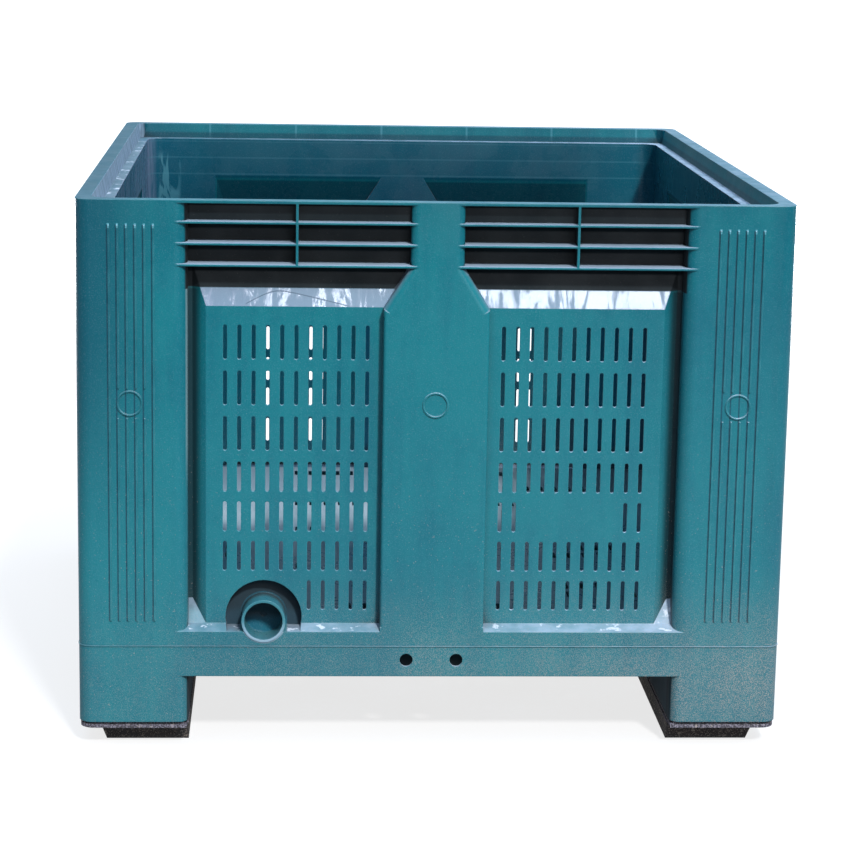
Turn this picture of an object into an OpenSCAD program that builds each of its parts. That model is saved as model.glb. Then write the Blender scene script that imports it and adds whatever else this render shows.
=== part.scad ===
// Vented harvest bin: a wall frame welded to a base tray, which stands on two runners.
// A screwed-on sole closes each runner from below.
// Millimetres, +Z up, ground at z = 0, the drain side faces -Y.

/* [Bin] */
// Overall width, across the drain side
bin_w = 1000; // [900:10:1200]
// Overall depth, from the drain side to the back
bin_d = 1200; // [1100:10:1400]
// Overall height, from the ground to the rim
bin_h = 780; // [720:10:1000]
// Thickness of the moulded skins
skin = 4; // [3:0.5:5]
// Rounding of the upright outer corners
corner_r = 20; // [12:1:30]
// Rounding of the upright inner corners
inner_r = 25; // [10:1:40]

/* [Rim] */
// Width of the rim's top face
rim_w = 21; // [18:1:24]
// Thickness of the rim's top plate
rim_t = 4; // [3:0.5:6]
// Depth of the recess that takes the soles of a bin stacked on top
nest_h = 25; // [20:1:28]
// How far the recess narrows from the rim to its ledge
nest_taper = 5; // [2:0.5:8]

/* [Posts] */
// Length of a corner post along the drain side and the back
post_w = 154; // [130:1:200]
// Length of a corner post along the long sides
post_d = 217; // [150:1:260]
// Rounding of the corner post's edge beside the panels
post_r = 18; // [10:1:22]
// Width of the middle post between the rib bays
mid_top_w = 75; // [60:1:100]
// Width of the middle post between the vented panels
mid_w = 147; // [120:1:180]
// Rounding of the middle post's edges beside the panels
mid_r = 4; // [2:0.5:6]
// Rounding of the middle post along its flare and beside the rib bays
flare_r = 11; // [6:0.5:14]

/* [Beads] */
// Number of upright beads on each face of a corner post
bead_count = 6; // [2:1:8]
// Distance from bead to bead
bead_pitch = 12.2; // [10:0.1:14]
// Width of a bead
bead_w = 2.2; // [1.5:0.1:4]
// How far the beads and rings stand out
bead_h = 1.5; // [1:0.1:3]
// Distance of the beads' upper ends below the rim
bead_drop = 35; // [32:1:60]
// Distance of the beads' lower ends above the seam
bead_lift = 36; // [25:1:80]
// Outer radius of the ring on each post
ring_r = 18; // [12:1:24]
// How far the rings sit outwards from the middle of the beads
ring_out = 2.6; // [0:0.2:6]
// Height of the rings above the ground
ring_z = 497; // [400:1:560]
// Clear space between a ring and the ends of the beads
ring_gap = 3; // [1:0.5:8]

/* [Rib bays] */
// Number of level ribs
rib_count = 3; // [2:1:4]
// Distance of the first rib's top below the rim
rib_first = 29; // [28:1:34]
// Distance from rib to rib
rib_pitch = 29.5; // [20:0.5:36]
// Thickness of the level ribs
rib_t = 3; // [2:0.5:4]
// Thickness of the upright rib in the middle of a bay
stay_t = 3.4; // [2:0.2:6]
// Depth of the rib bays
bay_in = 36; // [32:1:44]

/* [Vented panels] */
// Depth of the panels behind the outer face
panel_in = 22; // [16:1:26]
// Height of the sloping roof over a panel
roof_h = 58; // [40:1:80]
// Width of the slope between a panel and its corner post
slope_w = 19; // [12:1:26]
// Width of the groove beside the corner post
groove_w = 6; // [4:1:12]
// Height of the plain band between the seam and the ledge
band_h = 20.5; // [18:0.5:30]
// Rise of the ledge from the outer face to the panel
ledge_rise = 6.5; // [4:0.5:12]
// Rise of the facet that closes the groove, above the ledge
facet_h = 40; // [20:1:60]

/* [Vent slots] */
// Width of a slot
slot_w = 5.5; // [4:0.5:8]
// Distance from column to column
slot_pitch = 19.8; // [16:0.2:26]
// Least plain width at each side of a panel
slot_margin = 18; // [12:1:30]
// How far the slots and the upright rib sit towards the middle post
vent_shift = 2.5; // [0:0.5:6]
// How far the slots of the back sit further out than those of the drain side
back_set = 8.3; // [0:0.1:12]
// Distance from the roof to the first row
slot_drop = 26; // [16:1:40]
// Number of rows with long slots
upper_rows = 3; // [1:1:4]
// Length of the long slots
upper_h = 48.7; // [36:0.1:56]
// Distance from row to row among the long slots
upper_pitch = 64.8; // [58:0.1:76]
// Length of the short slots
lower_h = 43; // [30:0.5:48]
// Distance from row to row among the short slots
lower_pitch = 57.3; // [50:0.1:70]
// Plain height above the ledge
slot_foot = 15; // [8:1:24]
// Width of the plain patch in the right-hand panel
patch_w = 140; // [60:1:160]
// Height of the plain patch
patch_h = 50; // [30:1:60]
// Height of the patch's middle above the ground
patch_z = 332; // [300:1:420]

/* [Drain] */
// Distance of the drain left of the middle
drain_x = 238; // [200:1:250]
// Height of the drain's axis above the seam
drain_rise = 36; // [33:1:50]
// Radius of the drain's bore
drain_r = 27; // [20:0.5:27]
// Thickness of the drain spigot
drain_t = 4; // [3:0.5:5]
// Radius of the cup round the spigot
cup_r = 54; // [44:1:58]
// Depth of the cup and the bore behind the outer face
cup_in = 40; // [34:1:46]
// Radius of the drilling mark in the middle of the closed end
mark_r = 4; // [2:0.5:8]
// Depth of the drilling mark
mark_in = 2; // [1:0.5:2.5]

/* [Base] */
// Height of the seam and of the floor's top above the ground
floor_z = 149; // [140:1:170]
// Thickness of the floor
floor_t = 5; // [4:0.5:8]
// Clear height under the apron
fork_h = 104; // [96:1:108]
// Width of the runners
leg_w = 154; // [120:1:180]
// Length of the end blocks of a runner
leg_l = 217; // [180:1:260]
// Length of the middle block of a runner
mid_leg_l = 200; // [140:1:260]
// Rounding of the runner blocks' upright edges
leg_r = 15; // [8:1:20]
// Width of the rim round the open bottom of a runner block
lip_w = 16; // [14:1:24]
// Thickness of that rim
lip_t = 5; // [4:0.5:10]
// Depth of the rib grid under the floor
grid_h = 30; // [15:1:34]
// Thickness of the grid's ribs
grid_t = 4; // [3:0.5:6]
// Cells of the grid across the bin
grid_across = 5; // [3:1:9]
// Cells of the grid along the bin
grid_along = 10; // [6:1:14]
// Width of a slot in the floor
floor_slot_w = 7; // [4:0.5:9]
// Length of a slot in the floor
floor_slot_l = 34; // [20:1:40]
// Distance from slot to slot across the bin
floor_pitch_x = 25; // [16:0.5:32]
// Distance from slot to slot along the bin
floor_pitch_y = 50; // [44:0.5:60]
// Least plain width of the floor round the slots of a cell
floor_margin = 9; // [6:1:14]
// Height of the weld's flash along the seam
flash_h = 1.6; // [1:0.2:3]
// How far the weld's flash stands out
flash_out = 0.8; // [0.4:0.1:1.4]
// Distance from the apron's face to the wall that makes it a box
apron_in = 30; // [24:1:40]
// Distance between the two holes in the apron
hole_gap = 71; // [50:1:90]
// Radius of the holes in the apron
hole_r = 9.2; // [6:0.1:10]
// Height of the holes above the apron's lower edge
hole_rise = 24; // [14:1:26]

/* [Soles] */
// Height of a sole
sole_h = 36; // [30:1:44]
// Height of the neck under the runner
neck_h = 4; // [2:0.5:6]
// How far the neck stays behind the runner's faces
neck_in = 6; // [4:0.5:10]
// Thickness of the flange
flange_t = 5; // [3:0.5:8]
// How far the flange stays behind the runner's faces
flange_in = 1.5; // [0.5:0.5:4]
// How far the foot stays behind the runner's outer faces
foot_in = 28; // [26:1:36]
// How far the foot narrows towards the ground
foot_taper = 9; // [4:1:14]
// Distance between the gussets under the flange's ends
gusset_pitch = 31; // [20:1:40]
// Thickness of a gusset
gusset_t = 4; // [2:0.5:6]
// Thickness of the walls and floor round the soles' pockets
pocket_t = 7; // [5:0.5:10]

/* [Sole screws] */
// Radius of the screws' shanks
screw_r = 3; // [2.5:0.25:4]
// Length of the screws under their heads
screw_l = 50; // [40:1:60]
// Radius of the screws' heads
head_r = 6.5; // [5:0.25:8]
// Height of the screws' heads
head_h = 4; // [3:0.5:5]
// Depth of the heads' seats above the ground
head_seat = 12; // [8:1:16]
// Radius of the screw bosses
boss_r = 9; // [7:0.5:12]
// Distance of the screws from the middle of their block
screw_reach = 55; // [40:1:60]

/* [Hidden] */
$fn = 48;
// Room left round a screw
clearance = 0.1;
// How far cuts run past the faces that they open
overrun = 2;
// How far a raised bead is rooted in its wall
root = 1;

teal = "#1a7180";
dark = "#2a2a2b";
steel = "#8d9296";

sides = [0, 1, 2, 3];
hands = [-1, 1];

body_w = bin_w - 2 * bead_h;
body_d = bin_d - 2 * bead_h;
wall_in = bay_in + skin;
rim_z = bin_h - rim_t;
nest_z = bin_h - nest_h;
rim_bay_in = rim_w - skin;
// Most that the flare's rounding may take from the wall, in wall thicknesses
flare_share = 2.75;
flare_round = min(flare_r, flare_share * skin);
// How far the flare's rounding is set outwards, so that it meets the flare at an angle
flare_set = 0.1;
// Share of the rounding that the hollow behind it keeps clear of
step_share = 0.45;
hollow_step = step_share * max(flare_round - skin, 0);
mid_top_half = mid_top_w / 2;
mid_half = mid_w / 2;

recess_z = rib_top(rib_count - 1) - rib_t;
panel_z = recess_z - roof_h;
ledge_z = floor_z + band_h;
foot_z = ledge_z + ledge_rise;
post_top_z = rib_top(0) - rib_t - skin;

slot_z = panel_z - slot_drop;
lower_z = slot_z - upper_rows * upper_pitch;
lower_rows = 1 + floor((lower_z - lower_h - foot_z - slot_foot) / lower_pitch);

drain_z = floor_z + drain_rise;
tube_r = drain_r + drain_t;
hole_z = fork_h + hole_rise;

leg_x = body_w / 2 - leg_w;
flange_z = sole_h - neck_h - flange_t;
sole_x = leg_x + leg_w / 2;
block_y = [-body_d / 2 + leg_l / 2, 0, body_d / 2 - leg_l / 2];
block_l = [leg_l, mid_leg_l, leg_l];

// Height of the top of a level rib, counted from the rim down
function rib_top(k) = bin_h - rib_first - k * rib_pitch;

// Length of a side, distance of its face from the middle, and half the width between its corner posts
function side_out(i) = (i % 2 == 0 ? body_d : body_w) / 2;
function side_half(i) = i % 2 == 0 ? body_w / 2 - post_w : body_d / 2 - post_d;
function side_post(i) = i % 2 == 0 ? post_w : post_d;

// Outer end of a panel's flat face, and foot of the slope beside it
function face_end(half) = half - groove_w - slope_w;
function slope_end(half) = half - groove_w;

// Columns of slots across a panel, and the place of each from the middle post
function slot_columns(half) = 1 + floor((face_end(half) - mid_half - 2 * slot_margin) / slot_pitch);
function vent_mid(half) = (face_end(half) + mid_half) / 2 - vent_shift;
function slot_x(half, i) = vent_mid(half) + (i - (slot_columns(half) - 1) / 2) * slot_pitch;

// Puts a wall's own frame (x along it, y into it) on one of the four sides
module on_side(i) {
    rotate([0, 0, 90 * i])
        translate([0, -side_out(i), 0])
            children();
}

// Rectangle with round corners, about the origin
module round_rect(w, d, r) {
    square([w - 2 * r, d], center = true);
    square([w, d - 2 * r], center = true);
    for (x = hands, y = hands)
        translate([x * (w / 2 - r), y * (d / 2 - r)])
            circle(r);
}

// Shape drawn on a wall's face, x along it and y up, cut from one depth to another
module through_wall(from, to) {
    translate([0, to, 0])
        rotate([90, 0, 0])
            linear_extrude(to - from)
                children();
}

// Section drawn as depth and height, run along a wall
module along_wall(from, to) {
    translate([from, 0, 0])
        rotate([90, 0, 90])
            linear_extrude(to - from)
                children();
}

// Plan drawn as place along the wall and depth, raised from one height to another
module up_wall(from, to) {
    translate([0, 0, from])
        linear_extrude(to - from)
            children();
}

// What rounds an upright post edge at x, on the side that dir points to
module edge_plan(x, r, dir) {
    difference() {
        translate([min(x - dir * overrun, x + dir * r), -overrun])
            square([r + overrun, r + overrun]);
        translate([x + dir * r, r])
            circle(r);
    }
}

// Bay between the middle post and a corner post, in plan, without its upright rib
module bay_plan(half, depth) {
    difference() {
        union() {
            translate([mid_top_half, -overrun])
                square([half - mid_top_half, depth + overrun]);
            edge_plan(half, post_r, 1);
            edge_plan(mid_top_half, flare_round, -1);
        }
        translate([vent_mid(half) - stay_t / 2, -2 * overrun])
            square([stay_t, depth + 3 * overrun]);
    }
}

// Cells between the level ribs: the first stops at the rim's own wall
module rib_bays(half) {
    for (k = [0 : rib_count - 1])
        up_wall(rib_top(k), k == 0 ? rim_z : rib_top(k - 1) - rib_t)
            bay_plan(half, k == 0 ? rim_bay_in : bay_in);
}

// Outline of the field below the ribs, with the flare of the middle post
module field_outline(half, low) {
    polygon([
        [mid_top_half, recess_z],
        [mid_half, panel_z],
        [mid_half, low],
        [half, low],
        [half, recess_z]
    ]);
}

// The vented panel as a solid step: flat face, sloping roof, slope to the groove, ledge below
module panel_step(half) {
    intersection() {
        along_wall(0, half)
            polygon([
                [panel_in, ledge_z - overrun],
                [panel_in, panel_z],
                [bay_in, recess_z],
                [bay_in + overrun, recess_z],
                [bay_in + overrun, ledge_z - overrun]
            ]);
        up_wall(ledge_z - overrun, recess_z)
            polygon([
                [0, panel_in],
                [face_end(half), panel_in],
                [slope_end(half), bay_in],
                [slope_end(half), bay_in + overrun],
                [0, bay_in + overrun]
            ]);
    }
    along_wall(0, half + post_r + overrun)
        polygon([
            [0, ledge_z],
            [panel_in, foot_z],
            [bay_in, ledge_z + facet_h],
            [bay_in + overrun, ledge_z + facet_h],
            [bay_in + overrun, ledge_z - overrun],
            [0, ledge_z - overrun]
        ]);
}

// What rounds the middle post along its flare, up to the lowest rib
module flare_edge() {
    rise = panel_z - recess_z;
    run = mid_half - mid_top_half;
    intersection() {
        translate([mid_half, 0, panel_z])
            rotate([0, atan(run / rise), 0])
                linear_extrude(norm([run, rise]) + 2 * flare_round)
                    edge_plan(flare_set, flare_round, -1);
        up_wall(floor_z, recess_z)
            translate([0, -bin_d / 2])
                square([bin_w, bin_d]);
    }
}

// What is open in front of a panel
module outer_field(half) {
    difference() {
        union() {
            through_wall(-overrun, bay_in)
                field_outline(half, ledge_z);
            up_wall(ledge_z, recess_z)
                edge_plan(half, post_r, 1);
            up_wall(foot_z, panel_z)
                edge_plan(mid_half, mid_r, -1);
            flare_edge();
        }
        panel_step(half);
    }
}

// What is open behind a panel, down to the floor
module inner_field(half) {
    intersection() {
        along_wall(0, half)
            polygon([
                [wall_in, recess_z],
                [panel_in + skin, panel_z],
                [panel_in + skin, foot_z - skin],
                [skin, ledge_z - skin],
                [skin, floor_z - overrun],
                [wall_in + overrun, floor_z - overrun],
                [wall_in + overrun, recess_z]
            ]);
        up_wall(floor_z - overrun, recess_z)
            polygon([
                [0, 0],
                [face_end(half), 0],
                [face_end(half), panel_in + skin],
                [slope_end(half), wall_in],
                [slope_end(half), wall_in + overrun],
                [0, wall_in + overrun]
            ]);
        through_wall(0, wall_in + overrun)
            field_outline(half, floor_z - overrun);
    }
}

// One slot with round ends, hanging from its top
module slot(length) {
    translate([-slot_w / 2, slot_w / 2 - length])
        square([slot_w, length - slot_w]);
    for (y = [-slot_w / 2, slot_w / 2 - length])
        translate([0, y])
            circle(d = slot_w);
}

// Whether a slot is left out for the drain's cup or for the plain patch
function by_drain(x, low) =
    abs(x - drain_x) < cup_r + skin + slot_w / 2 && low < drain_z + cup_r + skin;
function in_patch(half, x, mid) =
    abs(x - vent_mid(half)) < patch_w / 2 && abs(mid - patch_z) < patch_h / 2;
function slot_open(half, side, hand, x, top, length) =
    !(side == 0 && hand < 0 && by_drain(x, top - length))
    && !(side == 0 && hand > 0 && in_patch(half, x, top - length / 2));

// Rows of slots in one panel: on the back they are set outwards, and the last column has no room
module slot_rows(half, side, hand, top, rows, pitch, length) {
    set = side == 2 ? back_set : 0;
    last = slot_columns(half) - (side == 2 ? 2 : 1);
    for (row = [0 : rows - 1], i = [0 : last])
        if (slot_open(half, side, hand, slot_x(half, i), top - row * pitch, length))
            translate([slot_x(half, i) + set, top - row * pitch])
                slot(length);
}

module vent_slots(half, side, hand) {
    through_wall(panel_in - overrun, panel_in + skin + overrun) {
        slot_rows(half, side, hand, slot_z, upper_rows, upper_pitch, upper_h);
        slot_rows(half, side, hand, lower_z, lower_rows, lower_pitch, lower_h);
    }
}

// Outline of the middle post's hollow, drawn in from the post's edges
module mid_hollow_outline(inset) {
    for (hand = hands)
        polygon([
            [0, post_top_z],
            [hand * (mid_top_half - inset), post_top_z],
            [hand * (mid_top_half - inset), recess_z - inset],
            [hand * (mid_half - inset), panel_z - inset],
            [hand * (mid_half - inset), floor_z - overrun],
            [0, floor_z - overrun]
        ]);
}

// Hollow of a middle post, open below, stepped behind the post's rounded edges
module mid_post_hollow() {
    through_wall(skin, wall_in - skin)
        mid_hollow_outline(skin + hollow_step);
    through_wall(skin + hollow_step, wall_in - skin)
        mid_hollow_outline(skin);
}

// Arm of a corner post's hollow, in plan, along one side
module post_arm_plan(i) {
    far = side_half(i) + side_post(i) - skin;
    start = side_half(i) + post_r;
    translate([start, skin])
        square([far - start - corner_r + skin, wall_in - 2 * skin]);
    translate([side_half(i) + skin, post_r])
        square([far - side_half(i) - skin, wall_in - skin - post_r]);
    translate([start, post_r])
        circle(post_r - skin);
}

// Hollow of the corner post between the drain side or back and a long side
module corner_post_hollow() {
    up_wall(floor_z - overrun, post_top_z) {
        translate([0, -side_out(0)])
            post_arm_plan(0);
        translate([side_out(1), 0])
            rotate(90)
                mirror([1, 0])
                    post_arm_plan(1);
        translate([body_w / 2 - corner_r, corner_r - body_d / 2])
            circle(corner_r - skin);
    }
}

// Recess inside the rim, narrowing to the ledge
module nest_recess() {
    top_w = body_w - 2 * rim_w;
    top_d = body_d - 2 * rim_w;
    intersection() {
        up_wall(nest_z, bin_h + overrun)
            round_rect(top_w, top_d, inner_r);
        rotate([90, 0, 0])
            linear_extrude(body_d, center = true)
                nest_section(top_w);
        rotate([90, 0, 90])
            linear_extrude(body_w, center = true)
                nest_section(top_d);
    }
}

module nest_section(top) {
    for (hand = hands)
        polygon([
            [0, nest_z],
            [hand * (top / 2 - nest_taper), nest_z],
            [hand * top / 2, bin_h],
            [hand * top / 2, bin_h + overrun],
            [0, bin_h + overrun]
        ]);
}

// Plain thick wall all round, before anything is opened in it
module wall_ring() {
    up_wall(floor_z, bin_h)
        difference() {
            round_rect(body_w, body_d, corner_r);
            round_rect(body_w - 2 * wall_in, body_d - 2 * wall_in, inner_r);
        }
}

// Raised ring, its middle at x on a wall's face
module post_ring(x) {
    translate([x, 0, ring_z])
        through_wall(-bead_h, root)
            difference() {
                circle(ring_r);
                circle(ring_r - bead_w);
            }
}

// Beads on a corner post: those that would cross the ring stop short of it
module post_beads(i) {
    middle = side_half(i) + side_post(i) / 2;
    low = floor_z + bead_lift;
    high = bin_h - bead_drop;
    break_low = ring_z - ring_r - ring_gap;
    break_high = ring_z + ring_r + ring_gap;
    for (k = [0 : bead_count - 1]) {
        x = (k - (bead_count - 1) / 2) * bead_pitch;
        spans = abs(x) < ring_r + ring_gap ? [[low, break_low], [break_high, high]] : [[low, high]];
        for (span = spans)
            translate([middle + x - bead_w / 2, -bead_h, span[0]])
                cube([bead_w, bead_h + root, span[1] - span[0]]);
    }
    post_ring(middle + ring_out);
}

// Cup and closed end of the drain, seen from the drain side
module drain_cup() {
    translate([-drain_x, 0, drain_z]) {
        intersection() {
            through_wall(panel_in, cup_in + skin)
                circle(cup_r + skin);
            translate([-bin_w, 0, ledge_z - skin - drain_z])
                cube([2 * bin_w, bin_d, bin_h]);
        }
        translate([-cup_r - skin, skin / 2, ledge_z - skin - drain_z])
            cube([2 * (cup_r + skin), cup_in + skin / 2, skin]);
    }
}

module drain_cup_hollow() {
    translate([-drain_x, 0, drain_z])
        intersection() {
            through_wall(-overrun, cup_in)
                circle(cup_r);
            translate([-bin_w, -bin_d / 2, ledge_z - drain_z])
                cube([2 * bin_w, bin_d, bin_h]);
        }
}

module drain_tube() {
    translate([-drain_x, 0, drain_z])
        through_wall(-bead_h, cup_in + skin)
            circle(tube_r);
}

module drain_bore() {
    translate([-drain_x, 0, drain_z]) {
        through_wall(-overrun, cup_in)
            circle(drain_r);
        through_wall(cup_in - overrun, cup_in + mark_in)
            circle(mark_r);
    }
}

// The walls with their bays, panels and hollow posts
module opened_walls() {
    difference() {
        wall_ring();
        nest_recess();
        for (i = sides)
            on_side(i) {
                mid_post_hollow();
                for (hand = hands)
                    mirror([hand < 0 ? 1 : 0, 0, 0]) {
                        rib_bays(side_half(i));
                        outer_field(side_half(i));
                        inner_field(side_half(i));
                        vent_slots(side_half(i), i, hand);
                    }
            }
        for (x = [0, 1], y = [0, 1])
            mirror([x, 0, 0])
                mirror([0, y, 0])
                    corner_post_hollow();
    }
}

module wall_frame() {
    color(teal)
        difference() {
            union() {
                difference() {
                    union() {
                        opened_walls();
                        on_side(0)
                            drain_cup();
                    }
                    on_side(0)
                        drain_cup_hollow();
                }
                on_side(0)
                    drain_tube();
                for (i = sides)
                    on_side(i) {
                        post_ring(0);
                        for (hand = hands)
                            mirror([hand < 0 ? 1 : 0, 0, 0])
                                post_beads(i);
                    }
            }
            on_side(0)
                drain_bore();
        }
}

// Plan of one runner block on the right-hand side, drawn in from its faces
module block_plan(k, inset) {
    outer_r = k == 1 ? leg_r : corner_r;
    low = block_y[k] - block_l[k] / 2 + inset;
    high = block_y[k] + block_l[k] / 2 - inset;
    near = leg_x + inset;
    far = body_w / 2 - inset;
    inner = max(leg_r - inset, skin);
    outer = max(outer_r - inset, skin);
    intersection() {
        translate([(near + far) / 2, (low + high) / 2])
            round_rect(far - near, high - low, inner);
        if (outer > inner)
            round_rect(2 * far, body_d - 2 * inset, outer);
    }
}

// Rib grid under the floor, between the runners
module floor_grid() {
    w = 2 * leg_x;
    d = body_d - 2 * skin;
    up_wall(floor_z - floor_t - grid_h, floor_z - floor_t + root) {
        for (i = [1 : grid_across - 1])
            translate([-w / 2 + i * w / grid_across - grid_t / 2, -d / 2 - root])
                square([grid_t, d + 2 * root]);
        for (j = [1 : grid_along - 1])
            translate([-w / 2 - root, -d / 2 + j * d / grid_along - grid_t / 2])
                square([w + 2 * root, grid_t]);
    }
}

// Slots in every other cell of the grid, as many as the cell has room for, none over the aprons' boxes
module floor_slots() {
    end = body_d / 2 - apron_in - skin - floor_slot_l / 2;
    cell_w = 2 * leg_x / grid_across;
    cell_d = (body_d - 2 * skin) / grid_along;
    room_x = cell_w - grid_t - 2 * floor_margin - floor_slot_w;
    room_y = cell_d - grid_t - 2 * floor_margin - floor_slot_l;
    columns = 1 + floor(room_x / floor_pitch_x);
    rows = 1 + floor(room_y / floor_pitch_y);
    up_wall(floor_z - floor_t - overrun, floor_z + overrun)
        for (i = [0 : grid_across - 1], j = [0 : grid_along - 1])
            if ((i + j) % 2 == 0)
                for (a = [0 : columns - 1], b = [0 : rows - 1]) {
                    x = (i - (grid_across - 1) / 2) * cell_w + (a - (columns - 1) / 2) * floor_pitch_x;
                    y = (j - (grid_along - 1) / 2) * cell_d + (b - (rows - 1) / 2) * floor_pitch_y;
                    if (abs(y) < end)
                        translate([x, y])
                            floor_slot();
                }
}

module floor_slot() {
    straight = floor_slot_l - floor_slot_w;
    square([floor_slot_w, straight], center = true);
    for (hand = hands)
        translate([0, hand * straight / 2])
            circle(d = floor_slot_w);
}

// Screw places on the right-hand runner, as a list
screw_places = [for (k = [0, 1, 2], hand = hands) [sole_x, block_y[k] + hand * screw_reach]];

module right_blocks() {
    for (k = [0, 1, 2])
        difference() {
            up_wall(sole_h, floor_z - floor_t + root)
                block_plan(k, 0);
            up_wall(sole_h + lip_t, floor_z - floor_t)
                block_plan(k, skin);
            up_wall(sole_h - overrun, floor_z - floor_t)
                block_plan(k, lip_w);
        }
    for (place = screw_places)
        translate([place[0], place[1], sole_h])
            cylinder(r = boss_r, h = floor_z - floor_t + root - sole_h);
}

module base_tray() {
    color(teal)
        difference() {
            union() {
                up_wall(floor_z - floor_t, floor_z)
                    round_rect(body_w, body_d, corner_r);
                up_wall(floor_z - flash_h, floor_z)
                    round_rect(body_w + 2 * flash_out, body_d + 2 * flash_out, corner_r + flash_out);
                up_wall(fork_h, floor_z - floor_t + root)
                    difference() {
                        round_rect(body_w, body_d, corner_r);
                        round_rect(body_w - 2 * skin, body_d - 2 * skin, corner_r - skin);
                    }
                floor_grid();
                up_wall(fork_h, floor_z - floor_t + root)
                    for (hand = hands)
                        translate([0, hand * (body_d / 2 - apron_in - skin / 2)])
                            square([2 * (leg_x + root), skin], center = true);
                for (x = [0, 1])
                    mirror([x, 0, 0]) {
                        right_blocks();
                        up_wall(fork_h, floor_z - floor_t + root)
                            translate([leg_x, -body_d / 2 + skin / 2])
                                square([skin, body_d - skin]);
                    }
            }
            floor_slots();
            for (x = hands)
                translate([x * hole_gap / 2, 0, hole_z])
                    translate([0, -body_d / 2, 0])
                        through_wall(-overrun, skin + overrun)
                            circle(hole_r);
            for (x = [0, 1], place = screw_places)
                mirror([x, 0, 0])
                    translate([place[0], place[1], sole_h - overrun])
                        cylinder(r = screw_r + clearance, h = head_seat + screw_l - sole_h + 2 * overrun);
        }
}

// Outline of a sole drawn in from the runner's faces, flush with it on the inner side
module sole_plan(inset) {
    intersection() {
        translate([leg_x + inset, -body_d / 2])
            square([leg_w - inset, body_d]);
        round_rect(body_w - 2 * inset, body_d - 2 * inset, corner_r);
    }
}

// Foot of the sole: flush inside, narrowing on its three outer sides
module sole_foot() {
    out = body_w / 2 - foot_in;
    end = body_d / 2 - foot_in;
    intersection() {
        rotate([90, 0, 0])
            linear_extrude(body_d, center = true)
                polygon([
                    [leg_x, 0],
                    [out - foot_taper, 0],
                    [out, flange_z],
                    [out, flange_z + root],
                    [leg_x, flange_z + root]
                ]);
        translate([leg_x, 0, 0])
            rotate([90, 0, 90])
                linear_extrude(leg_w)
                    polygon([
                        [foot_taper - end, 0],
                        [end - foot_taper, 0],
                        [end, flange_z],
                        [end, flange_z + root],
                        [-end, flange_z + root],
                        [-end, flange_z]
                    ]);
    }
}

// Gussets under the flange at both ends of the sole
module sole_gussets() {
    out = body_d / 2 - flange_in;
    end = body_d / 2 - foot_in;
    count = floor((leg_w - foot_in - gusset_t) / gusset_pitch);
    for (y = [0, 1], i = [0 : count - 1])
        mirror([0, y, 0])
            translate([leg_x + (i + 1 / 2) * gusset_pitch, 0, 0])
                rotate([90, 0, 90])
                    linear_extrude(gusset_t)
                        polygon([
                            [-out, flange_z + root],
                            [-out, flange_z],
                            [foot_taper / 2 - end, flange_z / 2],
                            [foot_taper - end, flange_z + root]
                        ]);
}

// Right-hand sole; the left one is its mirror image
module sole_body() {
    difference() {
        union() {
            sole_foot();
            sole_gussets();
            up_wall(flange_z, flange_z + flange_t)
                sole_plan(flange_in);
            up_wall(flange_z + flange_t - root, sole_h)
                sole_plan(neck_in);
        }
        for (k = [0, 1, 2])
            sole_pockets(k);
        for (place = screw_places)
            translate([place[0], place[1], 0]) {
                translate([0, 0, -overrun])
                    cylinder(r = head_r + screw_r, h = head_seat + overrun);
                cylinder(r = screw_r + clearance, h = sole_h + overrun);
            }
    }
}

// Pockets in the top of a sole, hidden under one runner block, clear of the screws
module sole_pockets(k) {
    near = leg_x + pocket_t + neck_in;
    far = body_w / 2 - foot_in - foot_taper - pocket_t;
    reach = min(block_l[k] / 2 - lip_w, screw_reach - boss_r - pocket_t);
    translate([near, block_y[k] - reach, pocket_t])
        cube([far - near, 2 * reach, sole_h]);
}

module right_sole() {
    color(dark)
        sole_body();
}

module left_sole() {
    color(dark)
        mirror([1, 0, 0])
            sole_body();
}

// Pan-head screws driven from below into the bosses
module sole_screws() {
    for (place = screw_places)
        translate([place[0], place[1], head_seat]) {
            translate([0, 0, -head_h])
                cylinder(r = head_r, h = head_h);
            cylinder(r = screw_r, h = screw_l);
        }
}

module right_sole_screws() {
    color(steel)
        sole_screws();
}

module left_sole_screws() {
    color(steel)
        mirror([1, 0, 0])
            sole_screws();
}

wall_frame();
base_tray();
left_sole();
right_sole();
left_sole_screws();
right_sole_screws();
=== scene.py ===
# %% [markdown]
# # A harvest bin, dressed for its picture
#
# The solids of the bin come from a CAD model: a wall frame, a base tray, two soles and their screws.
# They are already in metres and in place, so this lesson is about what CAD leaves out:
# a camera that stands where a photographer would stand, a light that reads the ribs and slots,
# and plastics that look moulded, used and dusty instead of freshly poured.

import math

import bpy
from mathutils import Matrix, Vector


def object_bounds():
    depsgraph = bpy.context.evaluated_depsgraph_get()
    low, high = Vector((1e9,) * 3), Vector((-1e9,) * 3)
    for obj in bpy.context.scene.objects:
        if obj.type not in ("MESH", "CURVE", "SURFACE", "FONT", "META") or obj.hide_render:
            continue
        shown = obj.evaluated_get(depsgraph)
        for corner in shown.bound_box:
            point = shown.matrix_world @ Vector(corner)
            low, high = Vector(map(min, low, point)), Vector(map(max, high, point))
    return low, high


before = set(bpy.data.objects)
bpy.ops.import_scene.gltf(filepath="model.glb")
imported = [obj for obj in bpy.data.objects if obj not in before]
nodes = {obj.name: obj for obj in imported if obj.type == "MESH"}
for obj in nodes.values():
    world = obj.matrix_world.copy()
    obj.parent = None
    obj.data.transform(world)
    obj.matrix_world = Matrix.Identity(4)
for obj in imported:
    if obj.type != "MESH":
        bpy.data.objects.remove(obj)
cad_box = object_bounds()
print("nodes:", ", ".join(sorted(nodes)))
print("box:", [[round(v, 3) for v in corner] for corner in cad_box])

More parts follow.
